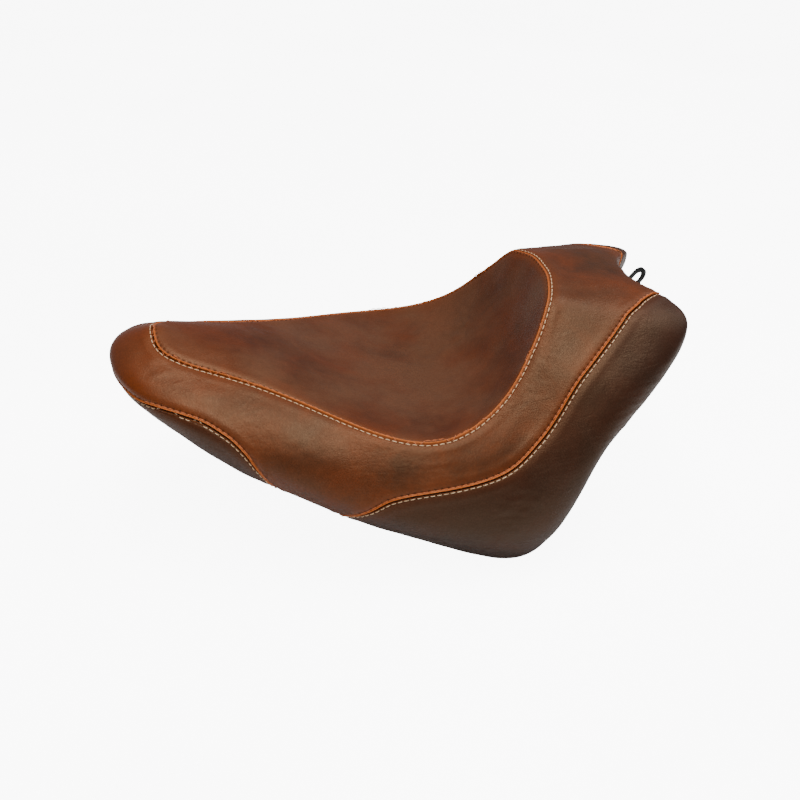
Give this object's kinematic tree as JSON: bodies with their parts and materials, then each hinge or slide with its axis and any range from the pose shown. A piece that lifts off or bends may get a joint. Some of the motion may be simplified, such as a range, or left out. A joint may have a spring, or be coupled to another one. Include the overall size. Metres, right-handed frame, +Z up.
{
  "type": "motorcycle seat",
  "caption": "Solo motorcycle seat: stitched brown leather-look cover over moulded foam on a steel base pan, with a front tongue and a slotted rear fender tab.",
  "frame": {"origin": "middle of the slot in the rear mounting tab", "axes": "+X forward, towards the nose; +Y towards the rider's left; +Z up, with the seat in its mounted attitude"},
  "size_m": [0.5577, 0.3744, 0.2435],
  "materials": {
    "cover_vinyl": "satin",
    "foam": "matte",
    "pan_steel": "satin",
    "tab_steel": "gloss",
    "zinc_steel": "satin",
    "rivet_metal": "satin",
    "rubber": "matte",
    "felt": "matte",
    "thread": "matte"
  },
  "bodies": {
    "root": {"insert_panel": "cover_vinyl", "surround_panel": "cover_vinyl", "chin_panel": "cover_vinyl", "left_skirt": "cover_vinyl", "right_skirt": "cover_vinyl", "cover_hem": "cover_vinyl", "foam_core": "foam", "base_pan": "pan_steel", "front_strap": "pan_steel", "middle_strap": "pan_steel", "front_tongue": "pan_steel", "fender_liner": "felt", "tongue_rivets": "rivet_metal", "cover_rivets": "rivet_metal", "bumper_rivets": "rivet_metal", "drain_grommets": "rubber", "rear_tab": "tab_steel", "tab_spacer": "rubber", "tab_backing_plate": "zinc_steel", "tab_screws": "zinc_steel", "tab_washers": "zinc_steel", "tab_nuts": "zinc_steel", "front_left_bumper": "rubber", "front_right_bumper": "rubber", "middle_left_bumper": "rubber", "middle_right_bumper": "rubber", "rear_left_bumper": "rubber", "rear_right_bumper": "rubber"}
  },
  "joints": []
}
